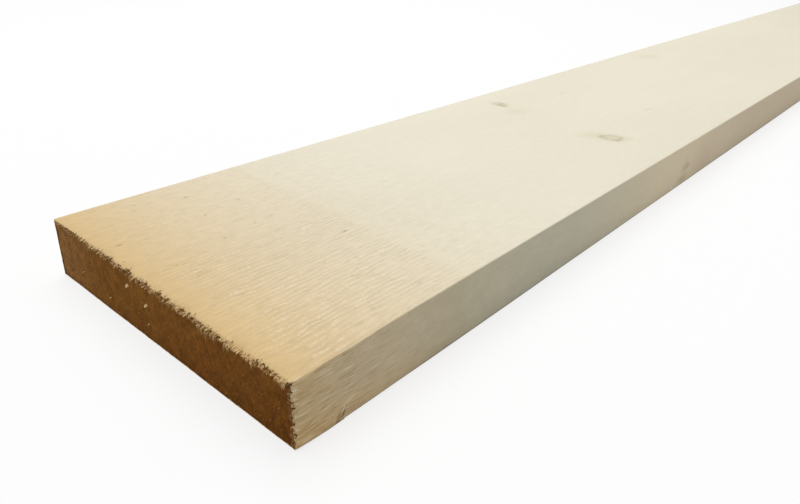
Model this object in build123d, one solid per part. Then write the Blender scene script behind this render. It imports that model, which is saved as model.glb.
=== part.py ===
from build123d import *
import os

# Rough-sawn softwood plank: one board sawn from one log, lying flat on its wide face.
# Millimetres. X runs along the board, Y across it and Z up. The origin is at the centre of the
# underside. The near end is at -X and the front edge is at -Y.

# Sawn size
LENGTH = 2400.0
WIDTH = 225.0
THICKNESS = 38.0

# The saw leaves every arris just broken, along the board and round its two crosscut ends
ARRIS_RADIUS = 0.8

# A sliver torn off the lower front arris: a step by the near end, then it runs out along the grain
TEAR_FROM_END = 30.0
TEAR_LENGTH = 150.0
TEAR_WIDTH = 1.8
TEAR_HEIGHT = 1.0

NEAR_END_X = -LENGTH / 2
FRONT_Y = -WIDTH / 2


def sawn_board():
    """The sawn section run out to length, with all its arrises broken."""
    near_end = Plane(origin=(NEAR_END_X, 0, 0), x_dir=(0, 1, 0), z_dir=(1, 0, 0))
    section = Rectangle(WIDTH, THICKNESS, align=(Align.CENTER, Align.MIN))
    board = extrude(near_end * section, amount=LENGTH)
    return fillet(board.edges(), ARRIS_RADIUS)


def torn_sliver():
    """The wood that the tear takes from the lower front arris: full size at its step, tapering to nothing."""
    step_x = NEAR_END_X + TEAR_FROM_END
    step_plane = Plane(origin=(step_x, FRONT_Y, 0), x_dir=(0, 1, 0), z_dir=(1, 0, 0))
    # The slant from (width, 0) to (0, height) is the torn face, and the rest lies clear of the board
    outline = [
        (TEAR_WIDTH, 0),
        (0, TEAR_HEIGHT),
        (-TEAR_WIDTH, TEAR_HEIGHT),
        (-TEAR_WIDTH, -TEAR_HEIGHT),
        (TEAR_WIDTH, -TEAR_HEIGHT),
    ]
    step = step_plane * make_face(Polyline(*outline, close=True))
    run_out = Vertex(step_x + TEAR_LENGTH, FRONT_Y, 0)
    return loft([step, run_out])


plank = sawn_board() - torn_sliver()

os.makedirs("parts", exist_ok=True)
export_step(plank, "parts/plank.step")
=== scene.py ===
import math

import bpy
import numpy as np
from mathutils import Matrix, Vector

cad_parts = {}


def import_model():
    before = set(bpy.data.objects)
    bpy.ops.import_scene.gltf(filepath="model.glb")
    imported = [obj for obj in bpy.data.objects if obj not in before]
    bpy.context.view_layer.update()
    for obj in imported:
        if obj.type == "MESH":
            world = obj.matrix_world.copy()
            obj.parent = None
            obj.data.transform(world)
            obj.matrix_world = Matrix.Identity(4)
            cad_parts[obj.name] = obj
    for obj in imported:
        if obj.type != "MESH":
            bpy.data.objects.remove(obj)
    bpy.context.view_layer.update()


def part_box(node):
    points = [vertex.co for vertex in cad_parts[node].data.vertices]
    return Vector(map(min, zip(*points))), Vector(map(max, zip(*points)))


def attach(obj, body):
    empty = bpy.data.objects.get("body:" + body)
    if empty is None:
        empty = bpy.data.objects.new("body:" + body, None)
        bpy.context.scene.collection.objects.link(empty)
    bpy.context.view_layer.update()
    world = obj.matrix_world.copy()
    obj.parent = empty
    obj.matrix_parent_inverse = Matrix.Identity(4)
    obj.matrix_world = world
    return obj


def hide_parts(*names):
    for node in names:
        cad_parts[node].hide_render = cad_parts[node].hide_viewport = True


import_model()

# The looks of one rough-sawn softwood plank. Metres, in the CAD frame: X along the plank, Y across, Z up.
# The near end is at -X and the front edge is at -Y.

MM = 0.001
LOW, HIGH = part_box("plank")
WIDTH = HIGH.y - LOW.y
THICKNESS = HIGH.z - LOW.z

# Torn fibres stand out of the two ends by up to this much, inside the CAD box
FUZZ = 2.0 * MM
NEAR_X = LOW.x + FUZZ
FAR_X = HIGH.x - FUZZ

# Arrises, and the sliver torn off the lower front one, as in the solid
ARRIS = 0.8 * MM
TEAR_FROM_END = 30 * MM
TEAR_LENGTH = 150 * MM
TEAR_WIDTH = 1.8 * MM
TEAR_HEIGHT = 1.0 * MM
TEAR_X = LOW.x + TEAR_FROM_END

# Cracks above the tear's step, and the pale chip between them: place along from the step in mm, lean,
# lowest and highest points and half the width in mm, and strength
TEAR_CRACKS = (
    (-8.4, 1.0, 3.0, 8.0, 0.7, 0.5),
    (-2.3, 0.45, 0.5, 7.5, 0.9, 0.75),
    (-5.0, 0.6, -1.0, 6.0, 2.2, 0.45),
)
TEAR_CHIP = (-3.2, 0.45, 4.5, 8.5, 0.8, 0.7)

# The log: its pith runs under the plank, wanders across and drops away along it
PITH_ACROSS = 20 * MM
PITH_WANDER = 5 * MM
PITH_WAVE = 0.6
PITH_DEPTH = 54 * MM
PITH_SLOPE = 0.03

# Growth rings: their pitch, how far they stray from circles, over what length along and how often a radian,
# and how the pitch changes: by how many rings, over what radius and from what phase
RING = 3.3 * MM
RING_STRAYS = ((1.6 * MM, 0.22, 2.2), (0.5 * MM, 0.05, 8))
RING_CHANGES = ((0.55, 9 * MM, 0.0), (0.4, 3.7 * MM, 1.0))

# Knots: place along from the near end and across as shares of the width, radius in mm, and breadth by length
TOP_KNOTS = (
    (1.899, 0.338, 5.6, 2.0),
    (1.78, -0.2575, 8.6, 0.85),
    (8.7, 0.19, 8.0, 1.0),
    (8.8, -0.31, 7.0, 1.2),
)
UNDER_KNOTS = (
    (4.28, -0.21, 7.0, 1.0),
    (4.35, 0.3, 8.0, 1.0),
    (6.38, 0.08, 6.0, 1.2),
    (6.45, -0.36, 9.0, 1.0),
)

# The knots of the underside end at this height. The one in the front edge has its height for a place across
UNDER_KNOT_TIP = 0.3 * THICKNESS
SIDE_KNOT = (1.93, 16 * MM, 5.0, 1.0)

# Where rows of knots lie along the plank, as shares of the width
WHORLS = (1.84, 4.3, 6.4, 8.75)

# A branch's lean along the plank, the least share of its radius, and how far it shows past its tip
BRANCH_LEAN = 25 * MM
BRANCH_ROOT = 0.2
BRANCH_PAST = 2 * MM

# Rings swirl round a knot by this share of its radius, over this many radii, stretched along the grain. Past
# the last number of radii no knot counts
SWIRL = 0.9
SWIRL_REACH = 1.9
SWIRL_STRETCH = 2.2
NO_KNOT = 9.0

# Marks on the top face: place along and across as shares of the width, and size in mm
PITS = (
    (0.493, -0.121, 1.6),
    (0.331, 0.379, 1.5),
    (0.05, 0.222, 1.6),
    (0.254, 0.071, 1.0),
    (0.093, 0.029, 0.9),
    (0.2, 0.43, 1.0),
    (0.3, 0.229, 1.1),
    (0.364, 0.093, 0.9),
    (0.429, 0.257, 1.2),
    (0.016, 0.132, 0.9),
)
SMUDGES = (
    (1.852, 0.218, 16.0),
    (1.75, -0.175, 15.0),
    (1.81, -0.31, 6.0),
    (2.3, 0.25, 6.0),
    (2.3, -0.18, 6.0),
    (3.56, 0.35, 26.0),
)
KNOT_HEARTS = ((1.889, 0.332, 6.0), (1.877, 0.3, 4.0), (1.77, -0.221, 5.0), (1.757, -0.288, 4.0))

# Marks on the front edge: place along as a share of the width, and then height and size in mm
SIDE_STAINS = ((1.928, 5.0, 7.0), (1.957, 15.5, 4.5))
SIDE_BLUSH = ((2.16, 12.0, 32.0),)

# How stretched along the grain each kind of mark is, how strongly it shows, and a pit's core
PIT_STRETCH, PIT_SHARE, PIT_CORE = 1.8, 0.4, 0.1
SMUDGE_STRETCH, SMUDGE_SHARE = 1.3, 0.65
HEART_STRETCH, HEART_SHARE = 1.0, 0.6
STAIN_STRETCH, STAIN_SHARE = 2.4, 0.28
BLUSH_STRETCH = 1.8

# Pale chips on the near end: shares of the width across and of the thickness up, and length in mm
END_CHIPS = (
    (0.107, 0.73, 3.2),
    (0.025, 0.61, 2.8),
    (0.22, 0.24, 1.3),
    (0.028, 0.29, 1.2),
    (0.36, 0.36, 1.2),
)

# Torn fibres on the near end, and the share of them that the far end has
TOP_FIBRES = 1400
FRONT_FIBRES = 260
FACE_FIBRES = 360
FAR_END_SHARE = 0.3

# How far the streaks of the ends lean from upright
END_SLANT = math.radians(24)

# The photograph's viewpoint and lens
LENS = 28.733
SENSOR = 36.0
CAMERA_AT = (-1.32271 + FUZZ, -0.27678, 0.20001)
CAMERA_YAW = 41.389
CAMERA_PITCH = 27.271
CAMERA_ROLL = 1.003
CAMERA_NEAREST = 0.01


def linear(red, green, blue):
    """Screen values, with 255 for white, as the linear colour that shaders take."""
    share = np.array([red, green, blue]) / 255
    value = np.where(share <= 0.04045, share / 12.92, ((share + 0.055) / 1.055) ** 2.4)
    return (*(float(v) for v in value), 1.0)


def noise(u, v, seed):
    """Smooth noise from -1 to 1 with features one unit across."""
    size = 64
    table = np.random.default_rng(seed).uniform(-1, 1, (size, size))
    iu = np.floor(u).astype(int)
    iv = np.floor(v).astype(int)
    fu = u - iu
    fv = v - iv
    fu = fu * fu * (3 - 2 * fu)
    fv = fv * fv * (3 - 2 * fv)
    corner = [[table[(iu + a) % size, (iv + b) % size] for b in (0, 1)] for a in (0, 1)]
    near = corner[0][0] * (1 - fv) + corner[0][1] * fv
    far = corner[1][0] * (1 - fv) + corner[1][1] * fv
    return near * (1 - fu) + far * fu


def smoothstep(low, high, value):
    """A smooth rise from 0 at low to 1 at high, which may be the smaller of the two."""
    share = np.clip((value - low) / (high - low), 0, 1)
    return share * share * (3 - 2 * share)


# The log that the plank is sawn from


def pith(x):
    """The pith's place across and up, at places along the plank."""
    along = x - NEAR_X
    across = PITH_ACROSS + PITH_WANDER * noise(along / PITH_WAVE, np.zeros_like(along), 11)
    return across, THICKNESS - PITH_DEPTH - PITH_SLOPE * along


def knots():
    """Each knot's root on the pith, the tip of its branch, its radius there and its breadth."""
    made = []
    for knots_there, height in ((TOP_KNOTS, THICKNESS), (UNDER_KNOTS, UNDER_KNOT_TIP)):
        for along, across, radius, broad in knots_there:
            made.append((along * WIDTH, across * WIDTH, height, radius, broad))
    along, height, radius, broad = SIDE_KNOT
    made.append((along * WIDTH, -WIDTH / 2, height, radius, broad))
    found = []
    for along, across, height, radius, broad in made:
        tip = np.array([NEAR_X + along, across, height])
        root_across, root_height = pith(tip[:1])
        root = np.array([tip[0] - BRANCH_LEAN, root_across[0], root_height[0]])
        found.append((root, tip, radius * MM, broad))
    return found


KNOTS = knots()


def knot_distance(points, knot, stretch=1.0):
    """How far points lie from a branch, in its radii there. Past its tip it ends."""
    root, tip, radius, broad = knot
    axis = tip - root
    length = np.linalg.norm(axis)
    axis = axis / length
    away = points - root
    along = away @ axis
    side = away - along[:, None] * axis
    side = side / np.array([stretch, broad, 1.0])
    local = radius * np.clip(along / length, BRANCH_ROOT, 1.0)
    past = np.clip(along - length - BRANCH_PAST, 0, None)
    return np.hypot(np.linalg.norm(side, axis=1), past) / local


def growth(points):
    """Growth rings counted out from the pith, and the distance to the nearest knot in its own radii."""
    x, y, z = points.T
    along = x - NEAR_X
    across, height = pith(x)
    radius = np.hypot(y - across, z - height)
    turn = np.arctan2(y - across, z - height)
    for seed, (stray, length, often) in enumerate(RING_STRAYS, start=1):
        radius = radius + stray * noise(along / length, turn * often, seed)
    nearest = np.full(len(points), NO_KNOT)
    for knot in KNOTS:
        nearest = np.minimum(nearest, knot_distance(points, knot))
        swirl = knot_distance(points, knot, SWIRL_STRETCH)
        radius = radius - SWIRL * knot[2] * np.exp(-((swirl / SWIRL_REACH) ** 2))
    rings = radius / RING
    for change, length, phase in RING_CHANGES:
        rings = rings + change * np.sin(radius / length + phase)
    return rings, nearest


# The plank's mesh

# Steps between its lines across and up, from the first to the last, and the point on an arris
ACROSS_STEPS = (1.3 * MM, 2.5 * MM)
UP_STEPS = (1.25 * MM, 1.25 * MM)
ARRIS_MIDDLE = 0.4 * ARRIS

# Steps between stations along it: the longest, and the first step and its growth away from the near end, the
# far end and a row of knots, past the knots' reach
LONGEST_STEP = 26 * MM
NEAR_STEP, NEAR_GROWTH = 0.7 * MM, 0.042
FAR_STEP, FAR_GROWTH = 1.6 * MM, 0.12
KNOT_STEP, KNOT_GROWTH = 5 * MM, 0.3
KNOT_REACH = 35 * MM

# Stations on the arris of an end, in degrees: 90 is in its plane and 0 on the long faces
ARRIS_ANGLES = (80, 50, 25)

# The tear's step has a station this far on each side of it, and no others nearer than this
STEP_HALF = 0.25 * MM
STEP_CLEAR = 0.8 * MM


def face_places(length, first, last):
    """Places across a face: two on each arris, and steps that grow from first to last between them."""
    inner = length - 2 * ARRIS
    steps = np.linspace(first, last, round(2 * inner / (first + last)))
    places = ARRIS + np.concatenate([[0], np.cumsum(steps)]) * inner / steps.sum()
    return np.concatenate([[0, ARRIS_MIDDLE], places, [length - ARRIS_MIDDLE, length]])


ACROSS = face_places(WIDTH, *ACROSS_STEPS) - WIDTH / 2
UP = face_places(THICKNESS, *UP_STEPS)
COLUMNS = len(ACROSS) - 1
ROWS = len(UP) - 1


def section():
    """The loop round the section: up the front edge, over the top, down the back and under.

    Gives the centre of each point's rounding and the way out of the wood there."""
    y = np.concatenate([np.full(ROWS, ACROSS[0]), ACROSS[:-1], np.full(ROWS, ACROSS[-1]), ACROSS[:0:-1]])
    z = np.concatenate([UP[:-1], np.full(COLUMNS, UP[-1]), UP[:0:-1], np.full(COLUMNS, UP[0])])
    place = np.stack([y, z], 1)
    low = np.array([-WIDTH / 2 + ARRIS, ARRIS])
    high = np.array([WIDTH / 2 - ARRIS, THICKNESS - ARRIS])
    centre = np.clip(place, low, high)
    out = place - centre
    return centre, out / np.linalg.norm(out, axis=1, keepdims=True)


def station_step(x):
    """The distance to the next station along the plank: short at the ends and at the knots."""
    whorl = min(abs(x - NEAR_X - share * WIDTH) for share in WHORLS)
    steps = (
        LONGEST_STEP,
        NEAR_STEP + NEAR_GROWTH * (x - NEAR_X),
        FAR_STEP + FAR_GROWTH * (FAR_X - x),
        KNOT_STEP + KNOT_GROWTH * max(0.0, whorl - KNOT_REACH),
    )
    return min(steps)


def stations():
    """Places along the plank, and how far the section draws in at the broken arris of each end."""
    angles = np.radians(ARRIS_ANGLES)
    rim = ARRIS * (1 - np.sin(angles))
    inset = ARRIS * (1 - np.cos(angles))
    middle = [NEAR_X + ARRIS]
    while middle[-1] < FAR_X - ARRIS:
        middle.append(middle[-1] + station_step(middle[-1]))
    middle = np.array(middle[:-1])
    middle = middle[np.abs(middle - TEAR_X) > STEP_CLEAR]
    middle = np.sort(np.concatenate([middle, [TEAR_X - STEP_HALF, TEAR_X + STEP_HALF]]))
    along = np.concatenate([NEAR_X + rim, middle, FAR_X - rim[::-1]])
    return along, np.concatenate([inset, np.zeros(len(middle)), inset[::-1]])


# Wear and relief

# How badly the crosscut wore the arrises round each end: the top one's wear at shares of the width, the wear
# of the others, and the depth and reach of full wear
TOP_WEAR_AT = (-0.3, 0.1, 0.35, 0.46)
TOP_WEAR = (1.0, 0.85, 0.6, 0.2)
FRONT_WEAR = 0.45
BACK_WEAR = 0.2
UNDER_WEAR = 0.15
WORN_DEPTH = 1.2 * MM
WORN_REACH = 4.5 * MM

# How far the torn edge strays, and how far it hangs over the end at the front, in mm for each unit of wear,
# and the lengths of its long and short waves
WANDER = 1.2
OVERHANG = 1.2
WANDER_LONG = 12 * MM
WANDER_SHORT = 5 * MM

# Worn front corners by the near end: whether upper, reach along, power of the run-out, width and height
WORN_CORNERS = (
    (False, 28 * MM, 1, 2.8 * MM, 1.6 * MM),
    (True, 60 * MM, 2, 14 * MM, 1.5 * MM),
)

# The near end was sawn out of true: at the back its top leans in, over this length of the plank
END_LEAN = 1.4 * MM
LEAN_REACH = 30 * MM

# The long faces: waves of the saw with their lengths along and round the plank, grooves between rings that
# fade from the near end, and gaps round knots with their place and half width in radii of the knot
SAW_WAVE = 0.1 * MM
SAW_WAVE_ALONG, SAW_WAVE_ROUND = 0.15, 0.05
GROOVE = 0.07 * MM
GROOVE_REACH = 0.5
KNOT_GAP = 0.3 * MM
KNOT_GAP_AT, KNOT_GAP_HALF = 1.05, 0.14
DEEPEST_RELIEF = 0.6 * MM

# The ends: slanted streaks and lumps
STREAK_DEPTH = 0.25 * MM
LUMP_DEPTH = 0.3 * MM
DEEPEST_END = 1.4 * MM

# A point faces up or down where its way out is steeper than this
LEVEL = 0.7

# The least width and height of a cut, where it runs out to nothing
TINY = 1e-6


def from_end(x):
    """The distance to the nearer end."""
    return np.minimum(x - NEAR_X, FAR_X - x)


def on_wide_face(out):
    """Which points of the long faces look up or down."""
    return np.abs(out[:, 1]) > LEVEL


def girth(points, out):
    """A place round the plank: across on the wide faces, and up on the narrow ones plus the width."""
    return np.where(on_wide_face(out), points[:, 1], points[:, 2] + WIDTH)


def top_wear(y):
    """The wear of an end's top arris: most at the front and least at the back corner."""
    return np.interp(y / WIDTH, TOP_WEAR_AT, TOP_WEAR)


def face_wear(y, out):
    """The wear of the arrises at an end, for points of the long faces that look out."""
    flat = np.where(out[:, 1] > 0, top_wear(y), UNDER_WEAR)
    upright = np.where(out[:, 0] > 0, BACK_WEAR, FRONT_WEAR)
    return np.where(on_wide_face(out), flat, upright)


def wander(place):
    """How far the torn edge strays at a place round the plank, in mm for each unit of the arris's wear."""
    still = np.zeros_like(place)
    stray = WANDER * (noise(place / WANDER_LONG, still, 23) + 0.5 * noise(place / WANDER_SHORT, still, 24))
    return stray - OVERHANG * smoothstep(0.1, -0.15, place / WIDTH)


def face_inside(points, out, wear):
    """How far points of the long faces lie inside an end's torn edge, in mm for each unit of wear."""
    return -from_end(points[:, 0]) / wear / MM + wander(girth(points, out))


def end_inside(y, z):
    """How far points of an end lie inside its torn edge, in mm for each unit of the nearest arris's wear."""
    gaps = (
        (THICKNESS - z) / top_wear(y) / MM + wander(y),
        (y + WIDTH / 2) / FRONT_WEAR / MM + wander(z + WIDTH),
        (WIDTH / 2 - y) / BACK_WEAR / MM,
        z / UNDER_WEAR / MM,
    )
    return np.minimum.reduce(gaps)


def worn_off(points, out, wear):
    """How deep the crosscut wore the long faces away at each end: a rounded arris with torn dips."""
    gap = from_end(points[:, 0])
    place = girth(points, out)
    broad = noise(place / (7 * MM), gap / (8 * MM), 21)
    fine = noise(place / (1.7 * MM), gap / (3 * MM), 22)
    share = np.clip(1 - gap / WORN_REACH, 0, 1)
    return WORN_DEPTH * wear * np.clip(1 + 0.6 * broad + 0.5 * fine, 0, None) * share**2


def relief(points, out, rings, knot):
    """How far each point of the long faces lies below the flat sawn face."""
    along = points[:, 0] - NEAR_X
    wave_noise = noise(along / SAW_WAVE_ALONG, girth(points, out) / SAW_WAVE_ROUND, 31)
    phase = rings % 1
    ridge = smoothstep(0.35, 0.9, phase) * (1 - smoothstep(0.92, 1.0, phase))
    groove = GROOVE * (1 - ridge) * np.exp(-along / GROOVE_REACH)
    gap = KNOT_GAP * np.exp(-(((knot - KNOT_GAP_AT) / KNOT_GAP_HALF) ** 2))
    return np.minimum(SAW_WAVE * (1 + wave_noise) + groove + gap, DEEPEST_RELIEF)


def end_relief(y, z):
    """How deep points of an end lie: streaks, broad and fine, and lumps."""
    slant = y + z * math.tan(END_SLANT)
    streak = noise(slant / (3 * MM), z / (7 * MM), 41) + 0.8 * noise(slant / (1.6 * MM), z / (3 * MM), 42)
    lump = noise(y / (6 * MM), z / (5 * MM), 43)
    return np.clip(STREAK_DEPTH * (1 + streak) + LUMP_DEPTH * (1 + lump), 0, DEEPEST_END)


def cut_arris(points, upper, width, height):
    """Moves points of the front arris, upper or lower, onto a slanted face of that width and height."""
    drop = THICKNESS - points[:, 2] if upper else points[:, 2]
    slant = np.stack([1 / np.maximum(width, TINY), 1 / np.maximum(height, TINY)])
    beyond = 1 - (points[:, 1] + WIDTH / 2) * slant[0] - drop * slant[1]
    move = np.clip(beyond, 0, None) / slant.sum(axis=0)
    points[:, 1] += move
    points[:, 2] += -move if upper else move


def cut_front(points):
    """The torn sliver, and the worn corners by the near end."""
    along = points[:, 0] - TEAR_X
    left = np.clip(1 - along / TEAR_LENGTH, 0, 1) * (along >= 0)
    cut_arris(points, False, TEAR_WIDTH * left, TEAR_HEIGHT * left)
    for upper, reach, power, width, height in WORN_CORNERS:
        worn = 1 - np.clip((points[:, 0] - NEAR_X) / reach, 0, 1) ** power
        cut_arris(points, upper, width * worn, height * worn)


def leaning(points):
    """How far the near end leans in: most at the top of its back corner, nothing in its front half."""
    near = np.clip(1 - (points[:, 0] - NEAR_X) / LEAN_REACH, 0, 1)
    return END_LEAN * near * smoothstep(0.0, 0.3, points[:, 1] / WIDTH) * points[:, 2] / THICKNESS


# The long faces and the ends

# The map of the plank's colours: long faces below, ends above them, then cells for the fibres
LONG_SHARE = 0.80
CAP_LOW, CAP_HIGH = 0.81, 0.905
CAP_SIDES = {-1: (0.005, 0.62), 1: (0.64, 0.99)}
CELLS_LOW, CELLS_ACROSS, CELL = 0.915, 200, 0.005

# How much more room the map gives to each end, and how far along it does so
NEAR_ROOM, NEAR_ROOM_REACH = 0.8, 0.2
FAR_ROOM, FAR_ROOM_REACH = 0.15, 0.1


def graded(x):
    """Places along the plank as shares from 0 to 1, with more room for the ends than the middle."""

    def room(place):
        near = NEAR_ROOM * (1 - np.exp(-(place - LOW.x) / NEAR_ROOM_REACH))
        far = FAR_ROOM * np.exp(-(HIGH.x - place) / FAR_ROOM_REACH)
        return place + near + far

    return (room(x) - room(LOW.x)) / (room(HIGH.x) - room(LOW.x))


def cells(grid):
    """What a grid holds at the four corners of each of its cells, in order round the cell."""
    corners = np.stack([grid[:-1, :-1], grid[1:, :-1], grid[1:, 1:], grid[:-1, 1:]], 2)
    return corners.reshape(-1, 4, *grid.shape[2:])


def tube():
    """The four long faces as a grid of stations by section points, with what each point shows."""
    along, inset = stations()
    centre, out = section()
    count = len(centre)
    outline = centre + out * ARRIS
    lengths = np.linalg.norm(np.roll(outline, -1, axis=0) - outline, axis=1)
    x = np.repeat(along, count)
    out = np.tile(out, (len(along), 1))
    centre = np.tile(centre, (len(along), 1))
    flat = np.column_stack([x, centre + out * (ARRIS - np.repeat(inset, count))[:, None]])
    rings, knot = growth(flat)
    wear = face_wear(flat[:, 1], out)
    points = flat.copy()
    points[:, 1:] -= out * (relief(flat, out, rings, knot) + worn_off(flat, out, wear))[:, None]
    cut_front(points)
    looks = {"ring": rings, "knot": knot, "edge": np.abs(out[:, 0]), "inside": face_inside(flat, out, wear)}
    index = np.arange(len(points)).reshape(len(along), count)
    faces = cells(np.column_stack([index, index[:, 0]]))
    u = graded(along)
    v = LONG_SHARE * np.concatenate([[0], np.cumsum(lengths)]) / lengths.sum()
    places = cells(np.stack(np.meshgrid(u, v, indexing="ij"), -1))
    return points, faces, places, looks, index


def cap_grid(loop, first_new):
    """The numbers of an end's points, row by row: a loop of the tube round a grid of new points."""
    grid = np.full((ROWS + 1, COLUMNS + 1), -1)
    grid[:, 0] = loop[: ROWS + 1]
    grid[ROWS, :] = loop[ROWS : ROWS + COLUMNS + 1]
    grid[::-1, COLUMNS] = loop[ROWS + COLUMNS : 2 * ROWS + COLUMNS + 1]
    grid[0, 1:] = loop[2 * ROWS + COLUMNS :][::-1]
    inside = np.arange((ROWS - 1) * (COLUMNS - 1)).reshape(ROWS - 1, COLUMNS - 1)
    grid[1:-1, 1:-1] = first_new + inside
    return grid


def cap(points, loop, first_new, outward):
    """A sawn end: its new points, its faces, their map places and how sunken the new points are."""
    grid = cap_grid(loop, first_new)
    up = UP / THICKNESS
    across = (ACROSS + WIDTH / 2) / WIDTH
    low, high = points[grid[0, 1:-1], 2], points[grid[-1, 1:-1], 2]
    front, back = points[grid[1:-1, 0], 1], points[grid[1:-1, -1], 1]
    y = front[:, None] * (1 - across[1:-1]) + back[:, None] * across[1:-1]
    z = low * (1 - up[1:-1, None]) + high * up[1:-1, None]
    sunk = end_relief(y, z)
    end = NEAR_X if outward < 0 else FAR_X
    new = np.stack([end - outward * sunk, y, z], -1).reshape(-1, 3)
    left, right = CAP_SIDES[outward]
    u, v = np.meshgrid(left + (right - left) * across, CAP_LOW + (CAP_HIGH - CAP_LOW) * up)
    turn = slice(None, None, 1 if outward < 0 else -1)
    faces = cells(grid)[:, turn]
    places = cells(np.stack([u, v], -1))[:, turn]
    return new, faces, places, (sunk / DEEPEST_END).ravel()


# Torn fibres. Each kind gives roots, bends and tips, widths, and tones at the root and the tip

# Clumps of fibres along an arris: pitch, half widths in mm and lengths from and to, and the mean and spread
# of the leans in mm and of the fibres' places in a clump
CLUMP_PITCH = 3.0 * MM
CLUMP_HALF = (0.5, 3.5)
CLUMP_LENGTH = (0.2, 1.0)
CLUMP_LEAN = (0.2, 0.7)
CLUMP_SPREAD = (0, 0.7)

# How many of the top's fibres lie outside the clumps, and how long those are
LOOSE_SHARE = 0.4
LOOSE_LENGTH = 0.15

# How deep fibres start in the wood
TOP_ROOT = 1.3 * MM
ROOT = 1.2 * MM
CHIP_ROOT = 0.6 * MM

# From and to: widths in mm, how far fibres stand out as shares of FUZZ and, on the face, in mm, shares of the
# full length, lengths in mm, and tones from pale at 0 to brown at 1
TOP_WIDTHS, FRONT_WIDTHS, FACE_WIDTHS = (0.15, 0.55), (0.15, 0.45), (0.2, 0.45)
TOP_STANDS, FRONT_STANDS, FACE_STANDS = (0.1, 0.95), (0.05, 0.45), (0.1, 0.5)
LENGTH_SHARES = (0.3, 1.0)
FACE_LENGTHS = (0.5, 2.0)
TOP_DARK, TOP_PALE = (0.75, 1.0), (0.0, 0.4)
FACE_DARK, FACE_PALE = (0.9, 1.0), (0.5, 0.9)

# Tones of the long and the short chips, and the length in mm that parts them
LONG_CHIP, SHORT_CHIP = 0.25, 0.55
CHIP_PARTING = 2.0

# Points that each fibre has
FIBRE_POINTS = 7


class Clumps:
    """Clumps of torn fibres along an arris: the place, half width, length and lean of each."""

    def __init__(self, seed, low, high):
        rng = np.random.default_rng(seed)
        count = round((high - low) / CLUMP_PITCH)
        self.place = rng.uniform(low, high, count)
        self.half = rng.uniform(*CLUMP_HALF, count) * MM
        self.long = rng.uniform(*CLUMP_LENGTH, count)
        self.lean = rng.normal(*CLUMP_LEAN, count) * MM

    def draw(self, rng, count):
        """The places, lengths and leans of so many fibres, each in one of the clumps."""
        clump = rng.integers(len(self.place), size=count)
        away = rng.normal(*CLUMP_SPREAD, count)
        place = self.place[clump] + away * self.half[clump]
        return place, self.long[clump] * np.exp(-(away**2)), self.lean[clump]


TOP_CLUMPS = Clumps(61, -WIDTH / 2, WIDTH / 2)
FRONT_CLUMPS = Clumps(62, 0.0, THICKNESS)


def spread(out, across, up):
    """Points given by their distances out of the end, places across and places up."""
    return np.column_stack(np.broadcast_arrays(out, across, up))


def top_fibres(rng, count):
    """Fibres torn out of the top face, hanging over an end: long ones in clumps, short ones between."""
    clumped, long, lean = TOP_CLUMPS.draw(rng, count)
    loose = rng.uniform(size=count) < LOOSE_SHARE
    anywhere = rng.uniform(-WIDTH / 2, WIDTH / 2, count)
    y = np.clip(np.where(loose, anywhere, clumped), -WIDTH / 2 + 3 * MM, WIDTH / 2 - 6 * MM)
    wear = top_wear(y)
    long = np.where(loose, LOOSE_LENGTH, long) * rng.uniform(*LENGTH_SHARES, count)
    torn = wander(y) / WANDER
    hang = wear * (0.4 + 5.0 * long) * np.clip(1 - torn, 0.3, 1.6) * MM
    stand = FUZZ * wear**0.4 * rng.uniform(*TOP_STANDS, count)
    lean = lean + rng.normal(0, 0.4, count) * MM
    start = THICKNESS - 0.5 * MM - WORN_DEPTH * wear * rng.uniform(0.6, 1.8, count)
    base = spread(-TOP_ROOT, y, start)
    middle = spread(stand, y + 0.4 * lean, start - 0.3 * hang)
    tip = spread(0.85 * stand, y + lean, start - 0.1 * MM - hang)
    dark = rng.uniform(size=count) < np.interp(y / WIDTH, [-0.3, 0.3], [0.55, 0.75]) + 0.2 * torn
    tone = np.where(dark, rng.uniform(*TOP_DARK, count), rng.uniform(*TOP_PALE, count))
    width = rng.uniform(*TOP_WIDTHS, count) * MM
    return base, middle, tip, width, tone, np.clip(tone + 0.5 * long, 0, 1)


def front_fibres(rng, count):
    """Fibres torn out of the front edge that lie over an end in clumps."""
    clumped, long, _ = FRONT_CLUMPS.draw(rng, count)
    z = np.clip(clumped, 3.5 * MM, THICKNESS - 3 * MM)
    over = (0.3 + 3.0 * long * rng.uniform(*LENGTH_SHARES, count)) * MM
    stand = FUZZ * rng.uniform(*FRONT_STANDS, count)
    lean = np.maximum(rng.normal(-0.2, 0.5, count) * MM, 0.7 * MM - z)
    start = -WIDTH / 2 + 0.75 * MM + WORN_DEPTH * FRONT_WEAR
    base = spread(-ROOT, start, z)
    middle = spread(stand, start + 0.1 * MM + 0.3 * over, z + 0.5 * lean)
    tip = spread(0.9 * stand, start + 0.2 * MM + over, z + lean)
    tone = np.clip(rng.normal(0.6, 0.3, count) + 0.8 * wander(z + WIDTH) / WANDER, 0, 1)
    width = rng.uniform(*FRONT_WIDTHS, count) * MM
    return base, middle, tip, width, tone, np.clip(tone + 0.3, 0, 1)


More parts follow.
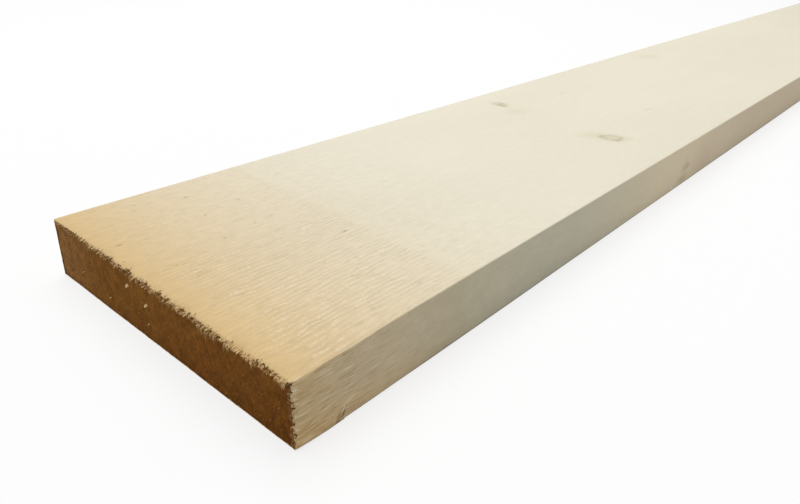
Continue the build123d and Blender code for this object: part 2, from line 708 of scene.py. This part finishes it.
def face_fibres(rng, count):
    """Short fibres on the sawn end: brown, with more pale ones at the front and the bottom."""
    y = rng.uniform(-WIDTH / 2 + 1.5 * MM, WIDTH / 2 - 1.5 * MM, count)
    z = THICKNESS * rng.uniform(0.06, 0.97, count)
    length = rng.uniform(*FACE_LENGTHS, count) * MM
    slant = rng.normal(END_SLANT, 0.4, count)
    stand = rng.uniform(*FACE_STANDS, count) * MM
    low = np.clip(z - length * np.cos(slant), 0.6 * MM, None)
    base = spread(-ROOT, y, z)
    middle = spread(stand, y + 0.5 * (z - low) * np.tan(slant), 0.5 * (z + low))
    tip = spread(0.5 * stand, y + (z - low) * np.tan(slant), low)
    at_front = smoothstep(-0.3, -0.48, y / WIDTH)
    at_bottom = smoothstep(0.2, 0.08, z / THICKNESS)
    pale = rng.uniform(size=count) < 0.01 + 0.3 * at_front + 0.1 * at_bottom
    tone = np.where(pale, rng.uniform(*FACE_PALE, count), rng.uniform(*FACE_DARK, count))
    width = rng.uniform(*FACE_WIDTHS, count) * MM
    return base, middle, tip, width, tone, np.clip(tone + 0.1, 0, 1)


def end_chips(rng, count):
    """The few pale chips on the near end, at set places."""
    across, up, length = np.array(END_CHIPS[:count]).T
    y = across * WIDTH
    z = up * THICKNESS
    half = 0.5 * length * MM
    base = spread(-CHIP_ROOT, y - half * math.sin(END_SLANT), z)
    middle = spread(0.5 * MM, y, z - 0.6 * half)
    tip = spread(0.3 * MM, y + half, z - 1.7 * half)
    tone = np.where(length > CHIP_PARTING, LONG_CHIP, SHORT_CHIP)
    return base, middle, tip, 1.2 * half, tone, tone + 0.1


def splinters(base, middle, tip, width):
    """Fibres as closed three-sided splinters: each starts in the wood, bends once and ends in a point."""
    rings = []
    for place, ahead, size in ((base, middle, 1.0), (middle, tip, 0.8)):
        aim = ahead - place
        aim = aim / np.linalg.norm(aim, axis=1, keepdims=True)
        side = np.cross(aim, (1.0, 0.0, 0.0))
        side = side / np.linalg.norm(side, axis=1, keepdims=True)
        half = (size * width / 2)[:, None]
        rings += [place + half * side, place + 0.6 * half * np.cross(side, aim), place - half * side]
    points = np.stack([*rings, tip], axis=1)
    end_faces = [[0, 1, 2, 2], [4, 3, 6, 6], [5, 4, 6, 6], [3, 5, 6, 6]]
    side_faces = [[1, 0, 3, 4], [2, 1, 4, 5], [0, 2, 5, 3]]
    faces = np.array(end_faces + side_faces) + FIBRE_POINTS * np.arange(len(base))[:, None, None]
    return points.reshape(-1, 3), faces.reshape(-1, 4)


def fibre_places(count):
    """A small cell of the colour map for each fibre, with its root below and its tip above."""
    number = np.arange(count)
    corner = np.stack([(number % CELLS_ACROSS) * CELL, CELLS_LOW + (number // CELLS_ACROSS) * CELL], 1)
    root, bend, tip = 0.2 * CELL, 0.5 * CELL, 0.8 * CELL
    within = [(root, root), (bend, root), (tip, root), (root, bend), (bend, bend), (tip, bend), (bend, tip)]
    return (corner[:, None] + np.array(within)).reshape(-1, 2)


def fringe():
    """The torn fibres of both ends: points, faces, map places of the points, and tones."""
    rng = np.random.default_rng(5)
    kinds = ((top_fibres, TOP_FIBRES), (front_fibres, FRONT_FIBRES), (face_fibres, FACE_FIBRES))
    wanted = [(NEAR_X, -1, kind, count) for kind, count in kinds]
    wanted += [(FAR_X, 1, kind, round(count * FAR_END_SHARE)) for kind, count in kinds]
    wanted.append((NEAR_X, -1, end_chips, len(END_CHIPS)))
    points, faces, tones = [], [], []
    fibres = 0
    for end, outward, kind, count in wanted:
        base, middle, tip, width, tone, tip_tone = kind(rng, count)
        placed = [np.column_stack([end + outward * p[:, 0], p[:, 1:]]) for p in (base, middle, tip)]
        new_points, new_faces = splinters(*placed, width)
        points.append(new_points)
        faces.append(new_faces + FIBRE_POINTS * fibres)
        bend_tone = 0.5 * (tone + tip_tone)
        tones.append(np.stack([tone] * 3 + [bend_tone] * 3 + [tip_tone], 1).ravel())
        fibres += count
    return np.concatenate(points), np.concatenate(faces), fibre_places(fibres), np.concatenate(tones)


# The whole mesh

SHARP_ANGLE = math.radians(38)


def point_looks(on_faces, ends, sunk, hairs, tones):
    """What the material reads at the points of the long faces, then of the ends and then of the fibres."""
    no_faces, no_ends, no_hairs = (np.zeros(len(part)) for part in (on_faces["ring"], ends, hairs))
    rings, knot = growth(np.concatenate([ends, hairs]))
    parts = {
        "ring": (on_faces["ring"], rings),
        "knot": (on_faces["knot"], knot),
        "edge": (on_faces["edge"], no_ends, no_hairs),
        "inside": (on_faces["inside"], end_inside(ends[:, 1], ends[:, 2]), no_hairs),
        "hair": (no_faces, no_ends, np.ones(len(hairs))),
        "tone": (no_faces, no_ends, tones),
        "end": (no_faces, np.ones(len(ends)), no_hairs),
        "sunk": (no_faces, sunk, no_hairs),
    }
    return {name: np.concatenate(values) for name, values in parts.items()}


def made_mesh(name, points, quads, corners, looks):
    """A smooth mesh with its colour map and looks. A quad that names its third point twice is a triangle."""
    kept = np.ones(quads.shape, bool)
    kept[:, 3] = quads[:, 2] != quads[:, 3]
    polygons = [q[:3] if q[2] == q[3] else q for q in quads.tolist()]
    mesh = bpy.data.meshes.new(name)
    mesh.from_pydata(points.tolist(), [], polygons)
    for look, values in looks.items():
        attribute = mesh.attributes.new(look, "FLOAT", "POINT")
        attribute.data.foreach_set("value", values.astype(np.float32))
    layer = mesh.uv_layers.new(name="OFBake")
    layer.data.foreach_set("uv", corners[kept].astype(np.float32).ravel())
    mesh.polygons.foreach_set("use_smooth", [True] * len(mesh.polygons))
    mesh.set_sharp_from_angle(angle=SHARP_ANGLE)
    mesh.validate()
    return mesh


def plank_mesh():
    """The whole plank as one mesh: the long faces, the two ends and the torn fibres."""
    points, faces, places, on_faces, index = tube()
    near, near_faces, near_places, near_sunk = cap(points, index[0], len(points), -1)
    far, far_faces, far_places, far_sunk = cap(points, index[-1], len(points) + len(near), 1)
    hairs, hair_faces, hair_places, tones = fringe()
    ends = np.concatenate([near, far])
    looks = point_looks(on_faces, ends, np.concatenate([near_sunk, far_sunk]), hairs, tones)
    every = np.concatenate([points, ends, hairs])
    every[:, 0] += leaning(every)
    every = np.clip(every, np.array(LOW), np.array(HIGH))
    quads = np.concatenate([faces, near_faces, far_faces, hair_faces + len(points) + len(ends)])
    corners = np.concatenate([places, near_places, far_places, hair_places[hair_faces]])
    return made_mesh("plank_wood", every, quads, corners, looks)


# Materials


class Graph:
    """The node tree of a material or world. Its short calls give the sockets of their results."""

    def __init__(self, owner):
        owner.use_nodes = True
        self.tree = owner.node_tree
        self.tree.nodes.clear()

    def feed(self, socket, value):
        if isinstance(value, bpy.types.NodeSocket):
            self.tree.links.new(value, socket)
        elif value is not None:
            socket.default_value = value

    def add(self, kind, *values, **settings):
        node = self.tree.nodes.new("ShaderNode" + kind)
        for name, value in settings.items():
            setattr(node, name, value)
        for socket, value in zip(node.inputs, values):
            self.feed(socket, value)
        return node

    def fill(self, node, values):
        for name, value in values.items():
            self.feed(node.inputs[name], value)
        return node.outputs[0]

    def math(self, operation, a, b=None):
        return self.add("Math", a, b, operation=operation).outputs[0]

    def times(self, a, b):
        return self.math("MULTIPLY", a, b)

    def plus(self, a, b):
        return self.math("ADD", a, b)

    def minus(self, a, b):
        return self.math("SUBTRACT", a, b)

    def most(self, a, b):
        return self.math("MAXIMUM", a, b)

    def smooth(self, value, low, high, to_low=0.0, to_high=1.0):
        node = self.add("MapRange", value, low, high, to_low, to_high, interpolation_type="SMOOTHSTEP")
        return node.outputs[0]

    def scaled(self, vector, along, across, up):
        return self.add("VectorMath", vector, (along, across, up), operation="MULTIPLY").outputs[0]

    def noise(self, vector, detail=2.0, roughness=0.5):
        values = {"Vector": vector, "Scale": 1.0, "Detail": detail, "Roughness": roughness}
        return self.fill(self.add("TexNoise"), values)

    def mix(self, share, a, b, blend="MIX"):
        node = self.add("Mix", data_type="RGBA", blend_type=blend)
        self.feed(node.inputs[0], share)
        self.feed(node.inputs[6], a)
        self.feed(node.inputs[7], b)
        return node.outputs[2]

    def attribute(self, name):
        return self.add("Attribute", attribute_name=name).outputs["Fac"]


class Wood(Graph):
    """The graph of the plank's material, with the places and looks that its parts share."""

    def __init__(self, owner):
        super().__init__(owner)
        self.place = self.add("TexCoord").outputs["Object"]
        self.x, self.y, self.z = self.add("SeparateXYZ", self.place).outputs
        self.from_near = self.minus(self.x, NEAR_X)
        self.along = self.math("MINIMUM", self.from_near, self.minus(FAR_X, self.x))
        self.edge = self.attribute("edge")
        self.end = self.attribute("end")
        self.hair = self.attribute("hair")
        self.strand = self.grain(75, 1600, 1600, 3.0, 0.6)

    def grain(self, along, across, up, detail=2.0, roughness=0.5):
        """Noise with so many features a metre along, across and up."""
        return self.noise(self.scaled(self.place, along, across, up), detail, roughness)


# Colours. Those of the edge multiply the wood's own colour, and may be brighter than white
CREAM = linear(237, 231, 211)
TAN = linear(221, 190, 137)
LATEWOOD = linear(184, 142, 84)
# Painted shade between bumps and strands, also the colour of the stains by a knot
SHADE_AND_STAIN_DARK = linear(150, 116, 70)
# Painted highlights on bumps and strands, also the pale of the chip by the tear
HIGHLIGHT_AND_CHIP_PALE = linear(248, 236, 208)
EDGE_NEAR = linear(245, 246, 248)
EDGE_WARM = linear(255, 249, 239)
EDGE_MIDDLE = linear(231, 232, 226)
EDGE_FAR = linear(262, 252, 239)
EDGE_PAST = linear(250, 238, 227)
EDGE_BLUSH = linear(252, 238, 226)
KNOT_WOOD = linear(223, 214, 190)
KNOT_RIM = linear(190, 179, 150)
HALO = linear(228, 220, 194)
END_LIGHT = linear(150, 107, 58)
END_BROWN = linear(136, 89, 32)
END_LOW = linear(120, 74, 22)
END_RED = linear(138, 76, 28)
# Brown of torn end grain on the long faces, darkened beyond the end's brown as painted shade in the torn
# hollows
TORN_SHADED = linear(106, 76, 34)
# Pale tan of the torn fibres, brightened beyond the wood's tan as painted light where they hang in shade
LIT_HAIR = linear(255, 224, 164)
HAIR_BROWN = linear(132, 86, 36)
# Painted shade in pits, dents and cracks
CREVICE_SHADE = linear(108, 78, 28)
# Painted shade along the lower arrises, also used for a darker band up the back arris of the ends
ARRIS_SHADE_DARK = linear(58, 44, 28)

# The tan of the ends fades over this length, and drops at a faint straight step across the top face
TAN_REACH = 0.42 * WIDTH
STEP_AT = 0.552 * WIDTH
STEP_LEAN = 0.06
STEP_LOSS = 0.075
TAN_BLUR = 5 * MM
ROUGH_BLUR = 2 * MM

# Saw marks: the pitch of their rows and of the teeth along them
ROW_PITCH = 3.4 * MM
TOOTH_PITCH = 3.0 * MM

# A crack shows fully this near its line, and over this share of its height
CRACK_CORE = 0.1 * MM
CRACK_FULL = 0.2

# How ragged the edge of the end grain is, in mm for each unit of wear
RAGGED = 21.0

# Painted shade along the lower arrises, and a darker band up the back arris of the ends: how far in each
# shows fully, below and at the back, and where it ends
LOW_SHADE, BACK_DARK = 0.4 * MM, 0.6 * MM
ARRIS_DARK_REACH = 1.8 * MM

# The shader's gloss, and the depth of its fine relief
SPECULAR = 0.12
BUMP_DEPTH = 0.35 * MM


def past_step(w, blur):
    """Nothing before the straight step across the top face, and one past it."""
    return w.smooth(w.minus(w.along, w.times(w.y, STEP_LEAN)), STEP_AT - blur, STEP_AT + blur)


def tan_share(w):
    """How tan the wood is: most at the ends, fading along the plank, with a faint straight step."""
    fade = w.math("EXPONENT", w.times(w.along, -1 / TAN_REACH))
    return w.most(w.minus(fade, w.times(past_step(w, TAN_BLUR), STEP_LOSS)), 0.0)


def rough_share(w):
    """How rough the saw left the wide faces: most near the ends and the front, in patches farther on."""
    front = w.smooth(w.y, 0.1 * WIDTH, -0.05 * WIDTH, 0.34, 1.0)
    past = past_step(w, ROUGH_BLUR)
    patch = w.smooth(w.grain(35, 60, 60), 0.4, 0.62)
    near = w.times(w.smooth(w.along, 4 * MM, 32 * MM, 0.2, 1.0), w.plus(w.times(patch, 0.6), 0.4))
    far = w.times(patch, w.smooth(w.along, 0.6 * WIDTH, 1.1 * WIDTH, 0.3, 0.06))
    share = w.times(front, w.plus(w.times(near, w.minus(1.0, past)), w.times(far, past)))
    return w.times(share, w.minus(1.0, w.edge))


def growth_lines(w):
    """Latewood: a line that darkens slowly through each ring and stops short at its edge."""
    wobble = w.grain(25, 260, 260, 3.0)
    phase = w.math("FRACT", w.plus(w.attribute("ring"), w.times(wobble, 0.35)))
    return w.times(w.smooth(phase, 0.35, 0.85), w.smooth(phase, 0.9, 1.0, 1.0, 0.0))


def wave(w, place, pitch, stray, furrow=-1.0):
    """Ridges that stray by a number of pitches: 0 in the furrows and 1 on the crests."""
    turns = w.plus(w.times(place, math.tau / pitch), w.times(stray, math.tau))
    return w.smooth(w.math("SINE", turns), furrow, 1.0)


def sawn_bumps(w):
    """Rows of short bumps along the grain that the saw's teeth left. They fade in and out."""
    rows = wave(w, w.y, ROW_PITCH, w.times(w.grain(45, 90, 90, 4.0, 0.6), 2.4), furrow=-0.6)
    teeth = wave(w, w.x, TOOTH_PITCH, w.times(w.grain(60, 330, 330, 1.0), 3.0))
    shown = w.smooth(w.grain(170, 420, 420, 3.0, 0.6), 0.36, 0.64, 0.2, 1.0)
    return w.times(shown, w.times(rows, w.plus(w.times(teeth, 0.6), 0.4)))


def bare_wood(w, bumps, rough):
    """The long faces: cream to tan, with growth lines, painted highlights and shade on the rough-sawn bumps
    and torn strands, and soft patches.
    """
    tan = tan_share(w)
    wood = w.mix(tan, CREAM, TAN)
    wood = w.mix(w.times(growth_lines(w), w.plus(w.times(tan, 0.03), 0.015)), wood, LATEWOOD)
    # Painted shade in the furrows between the saw's bumps, and painted highlights on their crests
    wood = w.mix(w.times(rough, w.smooth(bumps, 0.12, 0.0, 0.0, 0.09)), wood, SHADE_AND_STAIN_DARK)
    wood = w.mix(w.times(rough, w.smooth(bumps, 0.08, 0.7, 0.0, 0.5)), wood, HIGHLIGHT_AND_CHIP_PALE)
    # Painted shade under raised strands and painted highlights on them, most on the narrow faces near the
    # ends
    lift = w.plus(w.times(w.edge, w.smooth(w.along, 0.06 * WIDTH, 0.4 * WIDTH, 0.8, 0.1)), 0.03)
    wood = w.mix(w.times(lift, w.smooth(w.strand, 0.46, 0.34, 0.0, 0.65)), wood, SHADE_AND_STAIN_DARK)
    wood = w.mix(w.times(lift, w.smooth(w.strand, 0.54, 0.66)), wood, HIGHLIGHT_AND_CHIP_PALE)
    patch = w.smooth(w.grain(4, 12, 12), 0.3, 0.7, 0.98, 1.01)
    wood = w.mix(1.0, wood, patch, "MULTIPLY")
    mottle = w.minus(w.grain(120, 210, 210, 3.0, 0.6), 0.5)
    mottle = w.times(mottle, w.smooth(w.along, 0.5 * WIDTH, 1.2 * WIDTH, 0.22, 0.08))
    return w.mix(1.0, wood, w.plus(mottle, 1.0), "MULTIPLY")


def on_top(marks):
    """The points and sizes of marks on the top face."""
    return [((NEAR_X + u * WIDTH, v * WIDTH, THICKNESS), size * MM) for u, v, size in marks]


def on_front(marks):
    """The points and sizes of marks on the front edge."""
    return [((NEAR_X + u * WIDTH, -WIDTH / 2, up * MM), size * MM) for u, up, size in marks]


def spots(w, marks, stretch, core=0.0):
    """Soft spots, longer along the grain than across: one inside the core and nothing past the edge."""
    shown = 0.0
    squeezed = w.scaled(w.place, 1 / stretch, 1, 1)
    for (x, y, z), size in marks:
        away = w.add("VectorMath", squeezed, (x / stretch, y, z), operation="DISTANCE").outputs["Value"]
        shown = w.most(shown, w.smooth(away, core * size, size, 1.0, 0.0))
    return shown


def pits(w):
    """Painted shade in small pits in the top face, and in faint short dents near the ends."""
    dent = w.smooth(w.grain(130, 240, 240), 0.58, 0.75)
    dent = w.times(dent, w.smooth(w.along, 0.4 * WIDTH, 0.9 * WIDTH, 0.1, 0.0))
    return w.most(w.times(spots(w, on_top(PITS), PIT_STRETCH, PIT_CORE), PIT_SHARE), dent)


def slanted_mark(w, offset, lean, low, high, half, strength):
    """One slanted streak above the tear's step that fades all round."""
    line = w.minus(w.minus(w.x, TEAR_X + offset * MM), w.times(w.z, lean))
    streak = w.smooth(w.math("ABSOLUTE", line), CRACK_CORE, half * MM, strength, 0.0)
    middle = 0.5 * (low + high) * MM
    reach = 0.5 * (high - low) * MM
    fade = w.smooth(w.math("ABSOLUTE", w.minus(w.z, middle)), CRACK_FULL * reach, reach, 1.0, 0.0)
    return w.times(streak, fade)


def tear_marks(w):
    """The cracks in the front edge above the tear's step, darkened by painted shade, and the pale chip
    between them.
    """
    front = w.times(w.edge, w.smooth(w.y, 0.1 * WIDTH, -0.1 * WIDTH))
    cracks = 0.0
    for crack in TEAR_CRACKS:
        cracks = w.most(cracks, w.times(slanted_mark(w, *crack), front))
    return cracks, w.times(slanted_mark(w, *TEAR_CHIP), front)


def knot_colour(w, wood):
    """Knots over the bare wood: ringed cores, dark hearts and rims, faint yellow halos, and stains by one."""
    uneven = w.grain(130, 130, 130)
    core = w.plus(w.attribute("knot"), w.times(w.minus(uneven, 0.5), 0.5))
    wood = w.mix(w.times(spots(w, on_top(SMUDGES), SMUDGE_STRETCH), SMUDGE_SHARE), wood, HALO)
    wood = w.mix(w.smooth(core, 1.0, 2.2, 0.55, 0.0), wood, HALO)
    rings = w.math("SINE", w.times(core, 18.0))
    inner = w.mix(w.smooth(rings, -1.0, 1.0, 0.0, 0.15), KNOT_WOOD, KNOT_RIM)
    rim = w.times(w.smooth(core, 0.45, 1.0), w.smooth(uneven, 0.42, 0.66))
    inner = w.mix(rim, inner, KNOT_RIM)
    shown = w.times(w.smooth(core, 0.8, 1.25, 1.0, 0.0), w.smooth(w.edge, 0.0, 1.0, 1.0, 0.35))
    wood = w.mix(shown, wood, inner)
    wood = w.mix(w.times(spots(w, on_top(KNOT_HEARTS), HEART_STRETCH), HEART_SHARE), wood, KNOT_RIM)
    return w.mix(w.times(spots(w, on_front(SIDE_STAINS), STAIN_STRETCH), STAIN_SHARE), wood, SHADE_AND_STAIN_DARK)


def edge_tint(w):
    """How the narrow faces' colour differs from the wide ones', place by place."""
    near = w.mix(w.smooth(w.z, 0.1 * THICKNESS, 0.5 * THICKNESS), EDGE_WARM, EDGE_NEAR)
    tint = w.mix(w.smooth(w.from_near, 0.1 * WIDTH, 0.6 * WIDTH), near, EDGE_MIDDLE)
    tint = w.mix(w.smooth(w.from_near, 0.9 * WIDTH, 1.8 * WIDTH), tint, EDGE_FAR)
    tint = w.mix(w.smooth(w.from_near, 1.9 * WIDTH, 2.8 * WIDTH), tint, EDGE_PAST)
    tint = w.mix(spots(w, on_front(SIDE_BLUSH), BLUSH_STRETCH), tint, EDGE_BLUSH)
    return w.mix(w.smooth(w.y, -0.1 * WIDTH, 0.1 * WIDTH), tint, EDGE_PAST)


def long_faces(w, bumps, rough, sunk, chip):
    """The colour of the long faces: bare wood, knots, the narrow faces' tint, painted shade in pits and
    cracks, and the chip.
    """
    wood = knot_colour(w, bare_wood(w, bumps, rough))
    wood = w.mix(w.edge, wood, w.mix(1.0, wood, edge_tint(w), "MULTIPLY"))
    # Painted shade in the pits, dents and cracks
    wood = w.mix(sunk, wood, CREVICE_SHADE)
    return w.mix(chip, wood, HIGHLIGHT_AND_CHIP_PALE)


def end_streaks(w):
    """Fine slanted streaks in the end grain."""
    slanted = w.fill(w.add("Mapping", w.place), {"Rotation": (-END_SLANT, 0.0, 0.0)})
    return w.noise(w.scaled(slanted, 150, 480, 320), 6.0, 0.85)


def end_colour(w, streak):
    """The end grain: brown, lighter at the back, darker low down at the front, with reddish patches."""
    brown = w.mix(w.smooth(w.y, 0.2 * WIDTH, 0.5 * WIDTH), END_BROWN, END_LIGHT)
    low = w.plus(w.times(w.y, -1 / WIDTH), w.times(w.z, -0.5 / THICKNESS))
    brown = w.mix(w.smooth(low, -0.45, 0.35), brown, END_LOW)
    red = w.smooth(w.grain(10, 60, 60), 0.45, 0.7, 0.0, 0.4)
    red = w.times(red, w.smooth(w.y, 0.1 * WIDTH, -0.25 * WIDTH, 0.2, 1.0))
    brown = w.mix(red, brown, END_RED)
    deep = w.plus(w.times(w.attribute("sunk"), 0.18), streak)
    return w.mix(1.0, brown, w.smooth(deep, 0.31, 0.78, 1.5, 0.6), "MULTIPLY")


def end_share(w):
    """Where the end grain shows: inside a ragged edge on the worn arrises."""
    ragged = w.grain(480, 520, 480, 4.0, 0.75)
    inside = w.plus(w.attribute("inside"), w.times(w.minus(ragged, 0.5), RAGGED))
    return w.times(w.smooth(inside, -0.3, 0.9), w.minus(1.0, w.hair))


def arris_shade_and_dark(w):
    """Painted shade along the lower arrises, and a darker band up the back arris of the ends."""
    low = w.times(w.smooth(w.z, LOW_SHADE, ARRIS_DARK_REACH, 0.5, 0.0), w.most(w.edge, w.end))
    back = w.smooth(w.y, WIDTH / 2 - ARRIS_DARK_REACH, WIDTH / 2 - BACK_DARK, 0.0, 0.4)
    return w.most(low, w.times(back, w.end))


def torn_ends(w, wood, end, streak):
    """The two ends over the colour of the long faces: torn fibres with painted light, end grain, torn end
    grain with painted shade, and painted shade along the lower arrises with a darker back arris.
    """
    # Painted light: the brightened pale of the fibres, on the fibres and on the end's fringe
    wood = w.mix(w.end, wood, LIT_HAIR)
    wood = w.mix(w.hair, wood, w.mix(w.attribute("tone"), LIT_HAIR, HAIR_BROWN))
    # End grain on the ends; on the long faces the torn end grain, darker with painted shade
    wood = w.mix(end, wood, w.mix(w.end, TORN_SHADED, end_colour(w, streak)))
    # Painted shade along the lower arrises, and a darker band up the back arris of the ends
    return w.mix(arris_shade_and_dark(w), wood, ARRIS_SHADE_DARK)


def fine_relief(w, bumps, rough, sunk, end, streak):
    """The relief that is too fine for the mesh: strands, saw marks, pits, cracks and the ends' streaks."""
    side = w.times(w.edge, w.smooth(w.along, 0.1 * WIDTH, 0.3 * WIDTH, 1.0, 0.2))
    height = w.times(w.strand, w.plus(w.times(side, 0.7), 0.15))
    height = w.plus(height, w.times(bumps, w.times(rough, 0.9)))
    height = w.minus(height, w.times(sunk, 1.5))
    return w.plus(height, w.times(streak, end))


def wood_material():
    """Sawn softwood all round: long faces, knots, stained end grain and torn fibres."""
    material = bpy.data.materials.new("sawn_softwood")
    w = Wood(material)
    bumps = sawn_bumps(w)
    rough = rough_share(w)
    cracks, chip = tear_marks(w)
    # Where pits, dents and cracks get painted shade
    sunk = w.most(pits(w), cracks)
    end = end_share(w)
    streak = end_streaks(w)
    wood = torn_ends(w, long_faces(w, bumps, rough, sunk, chip), end, streak)
    height = fine_relief(w, bumps, rough, sunk, end, streak)
    looks = {
        "Base Color": wood,
        "Roughness": w.most(w.smooth(w.strand, 0.2, 0.8, 0.7, 0.9), end),
        "Specular IOR Level": SPECULAR,
        "Normal": w.fill(w.add("Bump", 1.0, BUMP_DEPTH), {"Height": height}),
    }
    w.add("OutputMaterial", w.fill(w.add("BsdfPrincipled"), looks))
    return material


# Stage

WHITE = (1.0, 1.0, 1.0, 1.0)

# The floor: half its size, its grey, how white it shows by the plank, and from where to where it turns white
FLOOR_HALF = 6.0
FLOOR_GREY = (0.72, 0.72, 0.72, 1.0)
FLOOR_LIFT = 0.75
FLOOR_NEAR = 1.5
FLOOR_FAR = 4.0

# Light: an even fill from all round, and one large soft lamp above that looks at the origin
FILL = 0.4
KEY_AT = (-0.6, 0.9, 3.2)
KEY_SIZE = (4.5, 2.6)
KEY_POWER = 89


def in_scene(name, data):
    """A new object, in the scene."""
    made = bpy.data.objects.new(name, data)
    bpy.context.scene.collection.objects.link(made)
    return made


def seen_directly(g):
    """One for what the camera, a reflection or glass sees directly, and nothing for other light."""
    path = g.add("LightPath")
    seen = g.most(path.outputs["Is Camera Ray"], path.outputs["Is Glossy Ray"])
    return g.most(seen, path.outputs["Is Transmission Ray"])


def floor_material():
    """Pale grey for other light. The camera sees white with a soft shadow, and plain white farther off."""
    material = bpy.data.materials.new("floor")
    g = Graph(material)
    plain = g.add("BsdfDiffuse", FLOOR_GREY)
    shaded = g.add("BsdfDiffuse", WHITE)
    white = g.add("Emission", WHITE, 1.0)
    away = g.add("VectorMath", g.add("TexCoord").outputs["Object"], operation="LENGTH").outputs["Value"]
    lift = g.smooth(away, FLOOR_NEAR, FLOOR_FAR, FLOOR_LIFT, 1.0)
    shown = g.add("MixShader", lift, shaded.outputs[0], white.outputs[0])
    mixed = g.add("MixShader", seen_directly(g), plain.outputs[0], shown.outputs[0])
    g.add("OutputMaterial", mixed.outputs[0])
    return material


def floor():
    """A plain pale floor under the plank."""
    mesh = bpy.data.meshes.new("floor")
    corners = [(x * FLOOR_HALF, y * FLOOR_HALF, 0) for x, y in ((-1, -1), (1, -1), (1, 1), (-1, 1))]
    mesh.from_pydata(corners, [], [(0, 1, 2, 3)])
    mesh.materials.append(floor_material())
    made = in_scene("floor", mesh)


def world():
    """Even light from all round, and white where the camera sees past the floor."""
    made = bpy.data.worlds.new("studio")
    g = Graph(made)
    fill = g.add("Background", WHITE, FILL)
    white = g.add("Background", WHITE, 1.0)
    mixed = g.add("MixShader", seen_directly(g), fill.outputs[0], white.outputs[0])
    g.add("OutputWorld", mixed.outputs[0])
    bpy.context.scene.world = made


def soft_box():
    """A large soft lamp that looks at the plank."""
    lamp = bpy.data.lights.new("key", "AREA")
    lamp.shape = "RECTANGLE"
    lamp.size, lamp.size_y = KEY_SIZE
    lamp.energy = KEY_POWER
    made = in_scene("key", lamp)
    made.location = KEY_AT
    made.rotation_euler = (-Vector(KEY_AT)).to_track_quat("-Z", "Y").to_euler()


def camera():
    """The photograph's viewpoint."""
    lens = bpy.data.cameras.new("camera")
    lens.lens = LENS
    lens.sensor_width = SENSOR
    lens.clip_start = CAMERA_NEAREST
    made = in_scene("camera", lens)
    turn = Matrix.Rotation(math.radians(CAMERA_YAW - 90), 4, "Z")
    tilt = Matrix.Rotation(math.radians(90 - CAMERA_PITCH), 4, "X")
    roll = Matrix.Rotation(math.radians(CAMERA_ROLL), 4, "Z")
    made.matrix_world = Matrix.Translation(CAMERA_AT) @ turn @ tilt @ roll
    bpy.context.scene.camera = made


def plank():
    """The plank itself, in place of the plain solid."""
    made = in_scene("plank_wood", plank_mesh())
    made.data.materials.append(wood_material())
    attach(made, "root")
    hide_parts("plank")


plank()
floor()
world()
soft_box()
camera()
bpy.context.scene.view_settings.view_transform = "Standard"
